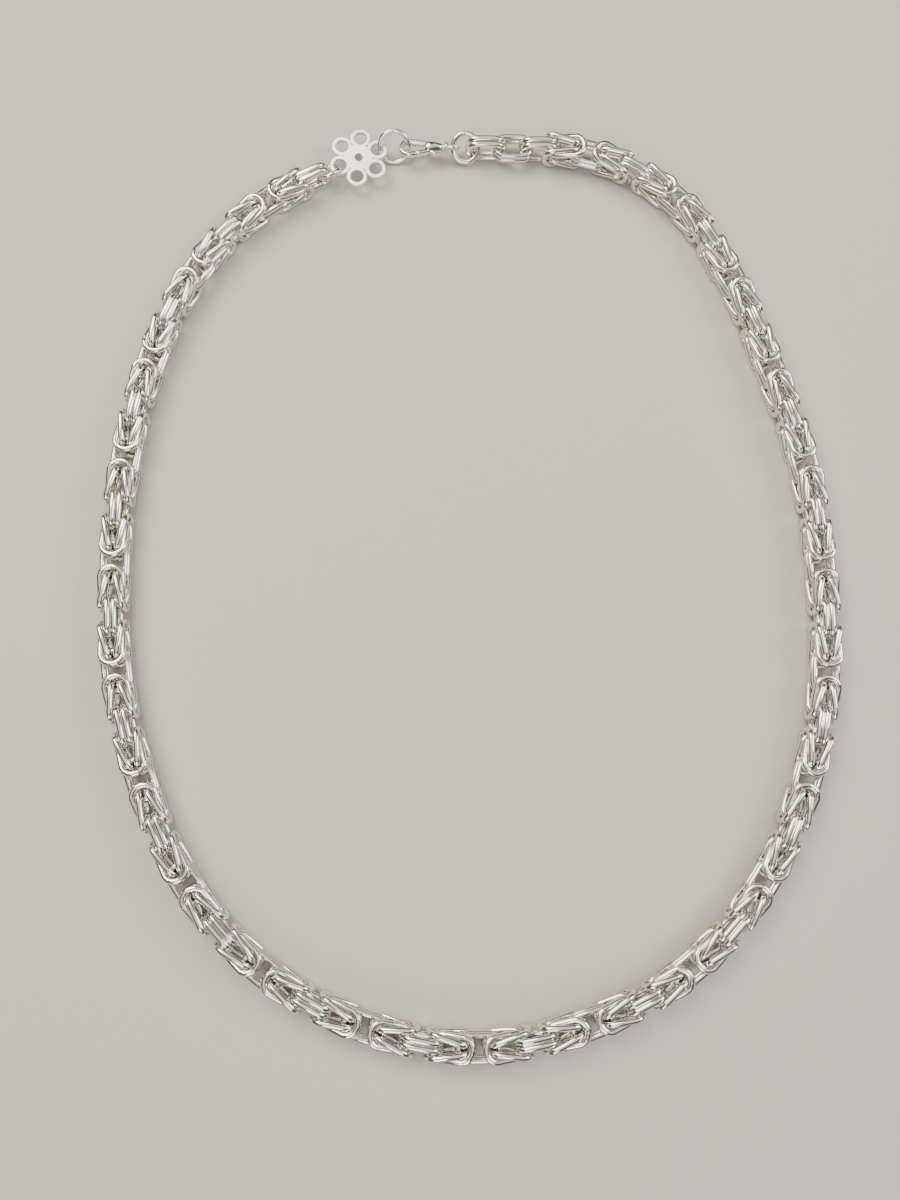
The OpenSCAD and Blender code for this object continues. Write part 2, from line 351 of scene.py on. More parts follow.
@dataclass
class Loft:
    """A solid that grows from a rounded section, step by step. It is modelled in millimetres."""

    at: Vector
    half_y: float
    half_z: float
    # How round the section is, from 0 to 1, and the number of steps in each of its corners
    corner: float
    steps: int
    piece: bpy.types.Object = field(init=False)

    def __post_init__(self) -> None:
        """Adds the first section, upright across X."""
        select_only()
        bpy.ops.mesh.primitive_plane_add(size=2, rotation=(0, math.pi / 2, 0))
        self.piece = settle(bpy.context.object)
        bpy.ops.object.mode_set(mode="EDIT")
        bpy.ops.mesh.select_all(action="SELECT")
        bpy.ops.mesh.bevel(offset=self.corner, segments=self.steps, affect="VERTICES")
        bpy.ops.mesh.select_all(action="SELECT")
        bpy.ops.transform.resize(value=(1, self.half_y, self.half_z), center_override=(0, 0, 0))
        bpy.ops.transform.translate(value=self.at)

    def to(self, at: Vector, half_y: float, half_z: float) -> None:
        """Grows the solid to a new section.

        Args:
            at: The new section's middle.
            half_y: Half its width.
            half_z: Half its thickness.
        """
        bpy.ops.mesh.extrude_region_move(TRANSFORM_OT_translate={"value": at - self.at})
        ratio = (1, half_y / self.half_y, half_z / self.half_z)
        bpy.ops.transform.resize(value=ratio, center_override=at)
        self.at, self.half_y, self.half_z = at, half_y, half_z

    def turn(self, angle_deg: float, centre: Vector, steps: int) -> None:
        """Sweeps the section round an upright line.

        Args:
            angle_deg: The angle of the whole sweep.
            centre: A point of the line.
            steps: The number of its steps.
        """
        for _ in range(steps):
            bpy.ops.mesh.extrude_region_move(TRANSFORM_OT_translate={"value": (0, 0, 0)})
            bpy.ops.transform.rotate(
                value=-math.radians(angle_deg) / steps, orient_axis="Z", center_override=centre
            )
        self.at = Matrix.Rotation(math.radians(angle_deg), 3, "Z") @ (self.at - centre) + centre

    def slide(self, by: Vector, share: float = 1.0) -> None:
        """Grows the solid straight on, whichever way the section faces.

        Args:
            by: How far, and in which direction.
            share: How large the new section is beside the last one.
        """
        bpy.ops.mesh.extrude_region_move(TRANSFORM_OT_translate={"value": by})
        self.at = self.at + by
        bpy.ops.transform.resize(value=(share, share, share), center_override=self.at)

    def finish(self) -> bpy.types.Object:
        """Ends the solid.

        Returns:
            The solid, with its faces turned outward.
        """
        bpy.ops.mesh.select_all(action="SELECT")
        bpy.ops.mesh.normals_make_consistent(inside=False)
        bpy.ops.object.mode_set(mode="OBJECT")
        return self.piece


def loft_through(
    sections: list[tuple[float, float, float, float]], corner: float, steps: int
) -> bpy.types.Object:
    """Models a solid through upright sections, in millimetres.

    Args:
        sections: Of each section, its place along X and Y, half its width and half its thickness.
        corner: How round the sections are, from 0 to 1.
        steps: The number of steps in each of their corners.

    Returns:
        The solid.
    """
    x, y, half_y, half_z = sections[0]
    solid = Loft(Vector((x, y, 0)), half_y, half_z, corner, steps)
    for x, y, half_y, half_z in sections[1:]:
        solid.to(Vector((x, y, 0)), half_y, half_z)
    return solid.finish()


def dress(
    piece: bpy.types.Object, silver: bpy.types.Material, body: str, smooth_deg: float
) -> None:
    """Gives a new piece its finish, smooth shading and CAD body.

    Args:
        piece: The finished piece.
        silver: Its material.
        body: The CAD body that it moves with.
        smooth_deg: Edges sharper than this stay crisp.
    """
    select_only(piece)
    bpy.ops.object.shade_smooth_by_angle(angle=math.radians(smooth_deg))
    piece.data.materials.clear()
    piece.data.materials.append(silver)
    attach(piece, body)


@dataclass(frozen=True)
class PolishedSilver:
    """Polished sterling silver, drawn or cast: mirror bright, a touch warm, with faint handling marks."""

    colour: str = "#F2EEE8"
    roughness: float = 0.13
    # How much smoother and rougher than that the marks make it
    smoother: float = 0.04
    rougher: float = 0.06
    # Handling marks are about a tenth of a millimetre apart; drawn at 0.5 mm, which the render can show
    mark_mm: float = 0.5

    def build(self) -> bpy.types.Material:
        """Makes the material.

        Returns:
            The polished silver.
        """
        material = bpy.data.materials.new("polished_sterling_silver")
        material.use_nodes = True
        tree = material.node_tree
        shader = tree.nodes["Principled BSDF"]
        shader.inputs["Base Color"].default_value = hex_to_linear(self.colour)
        shader.inputs["Metallic"].default_value = 1.0
        place = add_node(tree, "ShaderNodeTexCoord")
        marks = add_node(
            tree,
            "ShaderNodeTexNoise",
            {"Scale": 1 / (self.mark_mm * MM), "Detail": 3.0, "Roughness": 0.55},
            Vector=place.outputs["Object"],
        )
        spread = add_node(
            tree,
            "ShaderNodeMapRange",
            {
                "From Min": 0.3,
                "From Max": 0.7,
                "To Min": self.roughness - self.smoother,
                "To Max": self.roughness + self.rougher,
            },
            Value=marks.outputs["Fac"],
        )
        tree.links.new(spread.outputs["Result"], shader.inputs["Roughness"])
        return material


@dataclass(frozen=True)
class SatinSilver:
    """Stamped silver sheet, blanched and left satin: almost white, with an even sheen and a fine grain."""

    colour: str = "#FAF8F4"
    roughness: float = 0.36
    # The blanched grain is about 0.05 mm; drawn at 0.25 mm, which the render can show
    grain_mm: float = 0.25

    def build(self) -> bpy.types.Material:
        """Makes the material.

        Returns:
            The satin silver.
        """
        material = bpy.data.materials.new("satin_sterling_silver")
        material.use_nodes = True
        tree = material.node_tree
        shader = tree.nodes["Principled BSDF"]
        shader.inputs["Base Color"].default_value = hex_to_linear(self.colour)
        shader.inputs["Metallic"].default_value = 1.0
        shader.inputs["Roughness"].default_value = self.roughness
        place = add_node(tree, "ShaderNodeTexCoord")
        grain = add_node(
            tree,
            "ShaderNodeTexNoise",
            {"Scale": 1 / (self.grain_mm * MM), "Detail": 2.0, "Roughness": 0.5},
            Vector=place.outputs["Object"],
        )
        bump = add_node(
            tree, "ShaderNodeBump", {"Strength": 0.15, "Distance": 0.01 * MM}, Height=grain.outputs["Fac"]
        )
        tree.links.new(bump.outputs["Normal"], shader.inputs["Normal"])
        return material


@dataclass(frozen=True)
class PaleBoard:
    """Matt painted board under the necklace: pale, plain and without a pattern."""

    colour: str = "#C8C4BE"
    roughness: float = 0.75

    def build(self) -> bpy.types.Material:
        """Makes the material.

        Returns:
            The pale board.
        """
        material = bpy.data.materials.new("matt_painted_board")
        material.use_nodes = True
        shader = material.node_tree.nodes["Principled BSDF"]
        shader.inputs["Base Color"].default_value = hex_to_linear(self.colour)
        shader.inputs["Roughness"].default_value = self.roughness
        return material


@dataclass
class Route:
    """Where the chain lies: the points of the part's source, in metres, and the smooth curve through them."""

    points: list[tuple[float, float]] = field(
        default_factory=lambda: [
            (0.014, 0.085),
            (0.024, 0.084),
            (0.0335, 0.08),
            (0.041, 0.0745),
            (0.0515, 0.058),
            (0.0585, 0.039),
            (0.064, 0.0195),
            (0.066, -0.0005),
            (0.0655, -0.021),
            (0.0605, -0.0415),
            (0.0515, -0.059),
            (0.038, -0.073),
            (0.02, -0.082),
            (0.001, -0.0855),
            (-0.0185, -0.082),
            (-0.036, -0.073),
            (-0.05, -0.0585),
            (-0.059, -0.0405),
            (-0.0645, -0.021),
            (-0.066, -0.0005),
            (-0.065, 0.02),
            (-0.061, 0.0395),
            (-0.053, 0.058),
            (-0.042, 0.0707),
            (-0.0317, 0.0774),
        ]
    )
    # Which way the chain runs at its two ends, and the number of steps between two points
    head_deg: float = 0
    foot_deg: float = 29
    steps: int = 24
    # The height of the chain's middle
    height: float = FLAT_HALF
    # The chain's direction is measured this far to both sides
    reach: float = 0.5 * MM
    path: list[Vector] = field(init=False)
    travelled: list[float] = field(init=False)

    def __post_init__(self) -> None:
        """Works out the path and the distance to each of its points."""
        marks = [Vector(p) for p in self.points]
        spans = [(b - a).length for a, b in zip(marks, marks[1:])]
        slopes = [(b - a).normalized() for a, b in zip(marks, marks[1:])]
        turns = [Vector((math.cos(math.radians(self.head_deg)), math.sin(math.radians(self.head_deg))))]
        for i in range(1, len(marks) - 1):
            turns.append((slopes[i] * spans[i - 1] + slopes[i - 1] * spans[i]) / (spans[i - 1] + spans[i]))
        turns.append(Vector((math.cos(math.radians(self.foot_deg)), math.sin(math.radians(self.foot_deg)))))
        self.path = []
        for i, span in enumerate(spans):
            for k in range(self.steps):
                part = k / self.steps
                self.path.append(
                    (2 * part**3 - 3 * part * part + 1) * marks[i]
                    + (part**3 - 2 * part * part + part) * span * turns[i]
                    + (3 * part * part - 2 * part**3) * marks[i + 1]
                    + (part**3 - part * part) * span * turns[i + 1]
                )
        self.path.append(marks[-1])
        self.travelled = [0.0]
        for a, b in zip(self.path, self.path[1:]):
            self.travelled.append(self.travelled[-1] + (b - a).length)

    @property
    def length(self) -> float:
        """The route's length in metres."""
        return self.travelled[-1]

    def place(self, distance: float) -> Vector:
        """The route's point at a distance.

        Args:
            distance: How far along the route it is, in metres.

        Returns:
            The point in plan.
        """
        distance = min(max(distance, 0.0), self.length)
        low, high = 0, len(self.travelled) - 1
        while high - low > 1:
            middle = (low + high) // 2
            if self.travelled[middle] <= distance:
                low = middle
            else:
                high = middle
        part = (distance - self.travelled[low]) / (self.travelled[high] - self.travelled[low])
        return self.path[low].lerp(self.path[high], part)

    def end_station(self, end: End) -> Matrix:
        """The chain's own axes at its head or its foot.

        Args:
            end: Which end it is.

        Returns:
            The matrix from the chain's axes to the row frame.
        """
        spot = self.points[end.value]
        turn = math.radians(self.head_deg if end is End.HEAD else self.foot_deg)
        return Matrix.Translation((spot[0], spot[1], self.height)) @ Matrix.Rotation(turn, 4, "Z")

    def station(self, distance: float) -> Matrix:
        """The chain's own axes at a distance: X along it, Y to its left and Z up.

        Args:
            distance: How far along the route it is, in metres.

        Returns:
            The matrix from the chain's axes to the row frame.
        """
        ahead = (self.place(distance + self.reach) - self.place(distance - self.reach)).normalized()
        spot = self.place(distance)
        return Matrix(
            (
                (ahead.x, -ahead.y, 0, spot.x),
                (ahead.y, ahead.x, 0, spot.y),
                (0, 0, 1, self.height),
                (0, 0, 0, 1),
            )
        )


@dataclass(frozen=True)
class OvalWire:
    """One oval link of drawn wire, lying in the XY plane with its long side along X."""

    wire: float
    length: float
    width: float
    flat_half: float
    segments: int
    sides: int
    # A wire of few sides is drawn a little thicker, so that it looks as thick as a round one
    fill: float = 1.8

    def model(self, name: str) -> bpy.types.Object:
        """Models the link: a ring pulled apart into an oval and pressed flat on its long sides.

        Args:
            name: The link's name.

        Returns:
            The link.
        """
        select_only()
        fuller = 1 + self.fill / self.sides**2
        bpy.ops.mesh.primitive_torus_add(
            major_segments=self.segments,
            minor_segments=self.sides,
            major_radius=(self.width - self.wire) / 2,
            minor_radius=self.wire / 2 * fuller,
            rotation=(0, 0, math.pi / self.segments),
        )
        link = settle(bpy.context.object)
        link.name = name
        stretch = (self.length - self.width) / 2
        for way in (-1, 1):
            pick(link, lambda at: at.x * way > 0)
            bpy.ops.transform.translate(value=(way * stretch, 0, 0))
        for way in (-1, 1):
            press(link, self.flat_half, Vector((0, way, 0)))
        return link


@dataclass
class KnottedChain:
    """The king's chain: 44 knots of four oval links, with a pair of links between each two knots."""

    route: Route
    repeats: int = 22
    # Each drawn link's number of sides round the wire, and of steps along it
    wire_sides: int = 6
    link_segments: int = 16
    # Half of one repeat that the weave below was worked out for
    half_pitch: float = 10.0 * MM
    # Links of a knot: how far they stand from the lying pair, from the chain's middle, and how far they splay
    knot_reach: float = 5.356 * MM
    knot_spread: float = 1.381 * MM
    knot_splay: float = 0.218

    def masters(self) -> tuple[bpy.types.Object, bpy.types.Object]:
        """Models the two kinds of link.

        Returns:
            A link of a pair, and a link of a knot, which is also pressed on the side that faces out.
        """
        oval = OvalWire(LINK_WIRE, LINK_LENGTH, LINK_WIDTH, FLAT_HALF, self.link_segments, self.wire_sides)
        pair = oval.model("pair_link")
        knot = oval.model("knot_link")
        tilt = self.knot_splay
        out = Vector((math.sin(tilt), 0, math.cos(tilt)))
        press(knot, FLAT_HALF - self.knot_spread, out)
        return pair, knot

    def link_place(self, distance: float, offset: Vector, along: Vector, across: Vector) -> Matrix:
        """Where one link goes.

        Args:
            distance: How far along the route its middle is, in metres.
            offset: Its middle's offset from the route, in the chain's axes.
            along: The direction of its long side, in the chain's axes.
            across: The direction of its short side, in the chain's axes.

        Returns:
            The matrix that puts the modelled link there.
        """
        normal = along.cross(across)
        turn = Matrix((along, across, normal)).transposed().to_4x4()
        return self.route.station(distance) @ Matrix.Translation(offset) @ turn

    def places(self) -> tuple[list[Matrix], list[Matrix]]:
        """Works out where every link of the chain goes.

        Returns:
            One matrix for each link of a pair, and one for each link of a knot, whose Z points outward.
        """
        ahead, left, up = Vector((1, 0, 0)), Vector((0, 1, 0)), Vector((0, 0, 1))
        pitch = self.route.length / self.repeats
        grow = pitch / (2 * self.half_pitch)
        cos_splay, sin_splay = math.cos(self.knot_splay), math.sin(self.knot_splay)
        pairs, knots = [], []
        for i in range(self.repeats):
            middle = (i + 0.5) * pitch
            for hand in (-1, 1):
                pairs.append(self.link_place(middle, up * hand * PAIR_HALF, ahead, left))
                if i:
                    pairs.append(self.link_place(i * pitch, left * hand * PAIR_HALF, ahead, up))
                for side in Side:
                    way = side.value
                    near = middle + way * self.knot_reach * grow
                    far = middle + way * (self.half_pitch - self.knot_reach) * grow
                    along = ahead * way * cos_splay + left * hand * sin_splay
                    spot = left * hand * self.knot_spread
                    knots.append(self.link_place(near, spot, along, -up * way * hand))
                    along = -ahead * way * cos_splay + up * hand * sin_splay
                    spot = up * hand * self.knot_spread
                    knots.append(self.link_place(far, spot, along, -left * way * hand))
        return pairs, knots

    def build(self, silver: bpy.types.Material) -> None:
        """Builds the chain as one piece, in the place of the source's tube.

        Args:
            silver: The wire's material.
        """
        masters = self.masters()
        links = []
        for master, places in zip(masters, self.places()):
            links += [copy_of(master, place) for place in places]
            remove(master)
        count = len(links)
        chain = join("knotted_links", links)
        dress(chain, silver, BODY, smooth_deg=120)
        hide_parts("chain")
        LOG.info("knotted_links: %d links, %d faces", count, len(chain.data.polygons))


@dataclass
class EndLinks:
    """The single pairs of oval links at both ends of the chain, one piece for each link."""

    route: Route
    # The distance from pair to pair
    pitch: float = 5.4 * MM
    wire_sides: int = 16
    link_segments: int = 36

    def build(self, silver: bpy.types.Material) -> None:
        """Builds the eight links.

        Args:
            silver: The wire's material.
        """
        head = self.route.end_station(End.HEAD)
        foot = self.route.end_station(End.FOOT)
        upright = Matrix.Rotation(math.pi / 2, 4, "X")
        oval = OvalWire(LINK_WIRE, LINK_LENGTH, LINK_WIDTH, FLAT_HALF, self.link_segments, self.wire_sides)
        master = oval.model("end_link")
        # Name, end of the chain, shift along it, side, and whether the link stands upright
        links = (
            ("third_link_front", head, 0, -1, True),
            ("third_link_back", head, 0, 1, True),
            ("second_link_top", head, -self.pitch, 1, False),
            ("second_link_bottom", head, -self.pitch, -1, False),
            ("first_link_front", head, -2 * self.pitch, -1, True),
            ("first_link_back", head, -2 * self.pitch, 1, True),
            ("last_link_front", foot, 0, -1, True),
            ("last_link_back", foot, 0, 1, True),
        )
        for name, end, shift, side, standing in links:
            offset = (shift, side * PAIR_HALF, 0) if standing else (shift, 0, side * PAIR_HALF)
            place = end @ Matrix.Translation(offset) @ (upright if standing else Matrix.Identity(4))
            link = copy_of(master, place)
            link.name = f"{name}_wire"
            dress(link, silver, BODY, smooth_deg=60)
            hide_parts(name)
            LOG.info("%s: %d faces", link.name, len(link.data.polygons))
        remove(master)


@dataclass
class JumpRings:
    """The three round rings, each bent from wire until its two sawn ends meet."""

    # Name, place, angle in plan, lean, radius of the wire's middle, and wire, in metres and degrees
    rings: tuple[tuple[str, tuple[float, float, float], float, float, float, float], ...] = (
        ("end_ring", (-0.001, 0.085, 0.00255), 0, 36, 2.6 * MM, 1.0 * MM),
        ("tag_ring", (-0.0284437, 0.0793215, 0.00231), 30, -40, 2.4 * MM, 0.8 * MM),
        ("clasp_ring", (-0.0153929, 0.0847621, 0.002807), 1.5, 52.4, 2.95 * MM, 0.9 * MM),
    )
    segments: int = 60
    sides: int = 16
    # The sawn ends stand this far apart, with edges rounded by this much, in millimetres
    seam: float = 0.03
    edge: float = 0.04

    def model(self, radius: float, wire: float) -> bpy.types.Object:
        """Models a ring of wire with a seam, in millimetres.

        Args:
            radius: The radius of the wire's middle.
            wire: The wire's thickness.

        Returns:
            The ring in the XY plane, its seam on the far side of Y.
        """
        select_only()
        bpy.ops.mesh.primitive_circle_add(
            vertices=self.sides,
            radius=wire / 2,
            fill_type="NGON",
            rotation=(0, math.pi / 2, 0),
            location=(0, radius, 0),
        )
        ring = settle(bpy.context.object)
        half = self.seam / 2 / radius
        step = (math.tau - 2 * half) / self.segments
        bpy.ops.object.mode_set(mode="EDIT")
        bpy.ops.mesh.select_all(action="SELECT")
        bpy.ops.transform.rotate(value=-half, orient_axis="Z", center_override=(0, 0, 0))
        for _ in range(self.segments):
            bpy.ops.mesh.extrude_region_move(TRANSFORM_OT_translate={"value": (0, 0, 0)})
            bpy.ops.transform.rotate(value=-step, orient_axis="Z", center_override=(0, 0, 0))
        bpy.ops.object.mode_set(mode="OBJECT")
        soften(ring, self.edge, segments=2, angle_deg=60)
        return ring

    def build(self, silver: bpy.types.Material) -> None:
        """Builds the rings.

        Args:
            silver: The wire's material.
        """
        for name, at, angle, lean, radius, wire in self.rings:
            ring = self.model(radius / MM, wire / MM)
            ring.name = f"{name}_wire"
            seat(ring, lean_place(at, angle, lean))
            dress(ring, silver, BODY, smooth_deg=45)
            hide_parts(name)
            LOG.info("%s: %d faces", ring.name, len(ring.data.polygons))


@dataclass
class PetalTag:
    """The flat tag, modelled in millimetres: a rosette of six ring-shaped petals, stamped from sheet."""

    # The tag's middle in metres, and how it turns and leans
    at: tuple[float, float, float] = (-0.0224346, 0.0823336, 0.00238)
    angle_deg: float = 26
    lean_deg: float = 1.5
    petals: int = 6
    thick: float = 0.8
    disc_r: float = 2.9
    eye_r: float = 0.8
    petal_r: float = 2.05
    petal_hole_r: float = 1.3
    petal_reach: float = 4.1
    # How far the stamped edges are rounded, and how much thinner the petals are than the disc
    edge: float = 0.13
    step: float = 0.02
    # Places round a hole's flare, in degrees from the hole's wall
    flare_degs: tuple[float, ...] = (30, 60, 80)

    def blank(self, radius: float, spot: Vector, sides: int, thick: float) -> bpy.types.Object:
        """Models a round of sheet with softened edges.

        Args:
            radius: Its radius.
            spot: Its middle.
            sides: The number of its sides.
            thick: Its thickness.

        Returns:
            The round.
        """
        sheet = make_round(radius, thick, spot, sides)
        soften(sheet, self.edge, segments=3, angle_deg=50)
        return sheet

    def punch(self, radius: float, spot: Vector, sides: int) -> bpy.types.Object:
        """Models the tool of a round hole, whose ends flare so that the hole's edges come out soft.

        Args:
            radius: The hole's radius.
            spot: Its middle.
            sides: The number of its sides.

        Returns:
            The tool.
        """
        tool = make_round(radius, self.thick - 2 * self.edge, spot, sides)
        for way in (-1, 1):
            pick(tool, lambda at: at.z * way > 0)
            height, wide = self.thick / 2 - self.edge, radius
            flare = [
                (self.thick / 2 - self.edge * (1 - math.sin(a)), radius + self.edge * (1 - math.cos(a)))
                for a in (math.radians(degrees) for degrees in self.flare_degs)
            ]
            for new_height, new_wide in flare + [(self.thick, radius + self.edge)]:
                rise = (0, 0, way * (new_height - height))
                bpy.ops.mesh.extrude_region_move(TRANSFORM_OT_translate={"value": rise})
                grow = new_wide / wide
                bpy.ops.transform.resize(value=(grow, grow, 1), center_override=spot)
                height, wide = new_height, new_wide
            bpy.ops.object.mode_set(mode="OBJECT")
        return tool

    def build(self, silver: bpy.types.Material) -> None:
        """Builds the tag.

        Args:
            silver: The sheet's material.
        """
        tag = self.blank(self.disc_r, Vector(), sides=64, thick=self.thick)
        spots = [
            Vector((math.cos(a), math.sin(a), 0)) * self.petal_reach
            for a in (i * math.tau / self.petals for i in range(self.petals))
        ]
        for spot in spots:
            petal = self.blank(self.petal_r, spot, sides=45, thick=self.thick - self.step)
            cut_or_weld(tag, petal, Change.WELD)
        for spot in spots:
            cut_or_weld(tag, self.punch(self.petal_hole_r, spot, sides=40), Change.CUT)
        cut_or_weld(tag, self.punch(self.eye_r, Vector(), sides=32), Change.CUT)
        tag.name = "petal_tag"
        seat(tag, lean_place(self.at, self.angle_deg, self.lean_deg))
        dress(tag, silver, BODY, smooth_deg=40)
        even_shading(tag)
        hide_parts("tag")
        LOG.info("petal_tag: %d faces", len(tag.data.polygons))


@dataclass
class LobsterClasp:
    """The lobster clasp: a cast body, a sprung lever and a rivet, in millimetres from the claw's middle."""

    # The claw's middle in metres, and the turns of the clasp and of its eye
    at: tuple[float, float, float] = (-0.0123181, 0.0845473, 0.00255)
    angle_deg: float = 3
    lean_deg: float = -7
    eye_turn_deg: float = 43
    # The claw: radius of its middle line, half its width and thickness, and the round of its section
    claw_r: float = 1.6
    claw_half: float = 0.51
    claw_half_z: float = 0.66
    claw_corner: float = 0.85
    # Direction of the claw's straight sides, from the claw's middle
    side_deg: float = 78.2
    # The back's reach from the claw's bow into the shoulder
    back_length: float = 3.6
    # Steps along the claw's tip and along the gate, and the share of the section that each leaves
    tip_steps: tuple[tuple[float, float], ...] = ((0.45, 1.0), (0.35, 0.98), (0.12, 0.9), (0.05, 0.8))
    gate_steps: tuple[tuple[float, float], ...] = (
        (0.06, 1.18),
        (0.1, 1.06),
        (0.7, 1.0),
        (0.7, 1.02),
        (0.7, 1.0),
        (0.6, 0.9),
    )
    # Outer outline of the body
    outer_r: float = 2.1
    shoulder_r: float = 0.85
    shoulder_x: float = 6.1
    # The slot that the lever lies in, open at the front and towards -Y
    slot_half: float = 0.7
    slot_start: tuple[float, float] = (1.9, -3)
    slot_end: tuple[float, float] = (6.5, 0.6)
    # The lever: half its thickness, where its gate starts beside the claw's middle, half the gate's width
    # there and its share of the thickness, and the hub's radius
    lever_half: float = 0.6
    gate_start: float = 1.06
    gate_half: float = 0.36
    gate_share: float = 0.8
    hub_r: float = 0.75
    # The rivet: its place, radius, length and domes, and the gaps round it in the body and the lever
    pivot: tuple[float, float] = (4.5, -0.3)
    pin_r: float = 0.3
    pin_length: float = 2.6
    pin_dome: float = 0.14
    body_gap: float = 0.05
    lever_gap: float = 0.03
    # The eye: its middle, radius and wire, and how far from its middle its root is filled out
    eye_x: float = 8.65
    eye_r: float = 1.2
    eye_wire_r: float = 0.38
    root_x: float = 0.9
    # Longer than any hole is deep
    through: float = 4

    @property
    def place(self) -> Matrix:
        """The clasp's place in metres."""
        return lean_place(self.at, self.angle_deg, self.lean_deg)

    def outline(self, x: float) -> float:
        """Half the body's width at a place along it.

        Args:
            x: The place along the clasp.

        Returns:
            Half the width there.
        """
        taper = math.acos((self.outer_r - self.shoulder_r) / self.shoulder_x)
        if x > self.shoulder_x + self.shoulder_r * math.cos(taper):
            return math.sqrt(max(self.shoulder_r**2 - (x - self.shoulder_x) ** 2, 0.0))
        return (self.outer_r - x * math.cos(taper)) / math.sin(taper)

    def claw(self) -> bpy.types.Object:
        """Models the claw and the back as one bent bar.

        Returns:
            The bar, from the claw's tip to inside the shoulder.
        """
        side = math.radians(self.side_deg)
        bar = Loft(Vector((0, self.claw_r, 0)), self.claw_half, self.claw_half_z, self.claw_corner, steps=5)
        # The bar starts inside the shoulder and runs along the back and round the bow to the tip
        bpy.ops.transform.rotate(value=math.pi / 2 - side, orient_axis="Z", center_override=(0, 0, 0))
        start = Vector((math.cos(side), math.sin(side), 0)) * self.claw_r
        ahead = Vector((math.sin(side), -math.cos(side), 0))
        bpy.ops.transform.translate(value=ahead * self.back_length)
        bar.at = start + ahead * self.back_length
        for _ in range(3):
            bar.slide(-ahead * self.back_length / 3)
        bar.turn(360 - 2 * self.side_deg, Vector(), steps=18)
        for length, share in self.tip_steps:
            bar.slide(Vector((math.sin(side), math.cos(side), 0)) * length, share)
        return bar.finish()

    def shoulder(self) -> bpy.types.Object:
        """Models the shoulder, the neck and the collar, from the front to the eye.

        Returns:
            The solid, before the slot is cut.
        """
        # Place along the clasp, the share of the outline's width there, and half the thickness
        front = (
            (3.14, 0.62, 0.72),
            (3.2, 0.78, 0.86),
            (3.32, 0.9, 1.02),
            (3.52, 0.97, 1.16),
            (3.8, 1.0, 1.25),
            (4.2, 1.0, 1.3),
            (4.7, 1.0, 1.3),
            (5.2, 1.0, 1.24),
            (5.7, 1.0, 1.13),
            (6.1, 1.0, 1.0),
            (6.45, 0.98, 0.86),
            (6.7, 0.9, 0.7),
        )
        # Place along the clasp, and the radius there
        collar = (
            (6.85, 0.56),
            (6.98, 0.52),
            (7.06, 0.56),
            (7.1, 0.85),
            (7.16, 0.98),
            (7.27, 1.05),
            (7.62, 1.05),
            (7.73, 0.98),
            (7.8, 0.84),
        )
        sections = [(x, 0, self.outline(x) * share, half_z) for x, share, half_z in front]
        sections += [(x, 0, radius, radius) for x, radius in collar]
        return loft_through(sections, corner=0.9, steps=7)

    def eye(self) -> bpy.types.Object:
        """Models the eye at the clasp's tail.

        Returns:
            The ring, turned so that the end ring passes straight through it.
        """
        select_only()
        bpy.ops.mesh.primitive_torus_add(
            major_segments=40, minor_segments=14, major_radius=self.eye_r, minor_radius=self.eye_wire_r
        )
        ring = settle(bpy.context.object)
        # The eye's root is filled out where it meets the collar
        pick(ring, lambda at: at.x < -self.root_x)
        bpy.ops.transform.resize(value=(1, 1.05, 1.25), center_override=(-self.eye_r, 0, 0))
        bpy.ops.object.mode_set(mode="OBJECT")
        turn = Matrix.Rotation(math.radians(90 + self.eye_turn_deg), 4, "X")
        ring.data.transform(Matrix.Translation((self.eye_x, 0, 0)) @ turn)
        return ring

    def body(self) -> bpy.types.Object:
        """Welds the cast body and cuts the lever's slot and the rivet's hole.

        Returns:
            The body.
        """
        body = self.shoulder()
        cut_or_weld(body, self.claw(), Change.WELD)
        cut_or_weld(body, self.eye(), Change.WELD)
        select_only()
        low = Vector((*self.slot_start, -self.slot_half))
        high = Vector((*self.slot_end, self.slot_half))
        bpy.ops.mesh.primitive_cube_add(size=1, location=(low + high) / 2, scale=high - low)
        cut_or_weld(body, settle(bpy.context.object), Change.CUT)
        hole = make_round(self.pin_r + self.body_gap, self.through, Vector((*self.pivot, 0)), sides=24)
        cut_or_weld(body, hole, Change.CUT)
        return body

    def lever(self) -> bpy.types.Object:
        """Models the lever: the gate, its hub and the nib that the thumb works.

        Returns:
            The lever.
        """
        side = math.radians(self.side_deg)
        ahead = Vector((math.sin(side), math.cos(side), 0))
        start = Vector((math.cos(side), -math.sin(side), 0)) * self.claw_r + ahead * self.gate_start
        gate = Loft(Vector(), self.gate_half, self.lever_half * self.gate_share, corner=0.6, steps=4)
        bpy.ops.transform.rotate(value=side - math.pi / 2, orient_axis="Z", center_override=(0, 0, 0))
        bpy.ops.transform.translate(value=start)
        gate.at = start
        for length, share in self.gate_steps:
            gate.slide(ahead * length, share)
        lever = gate.finish()
        pivot = Vector((*self.pivot, 0))
        cut_or_weld(lever, make_round(self.hub_r, 2 * self.lever_half, pivot, sides=40), Change.WELD)
        # Place along the clasp and across it, half the width there, and the share of the lever's thickness
        nib = (
            (4.1, -0.95, 0.3, 0.9),
            (4.6, -1.3, 0.42, 0.97),
            (4.95, -1.45, 0.44, 1.0),
            (5.5, -1.33, 0.42, 1.0),
            (6.1, -1.22, 0.34, 0.97),
            (6.38, -1.17, 0.24, 0.85),
            (6.48, -1.16, 0.12, 0.6),
        )
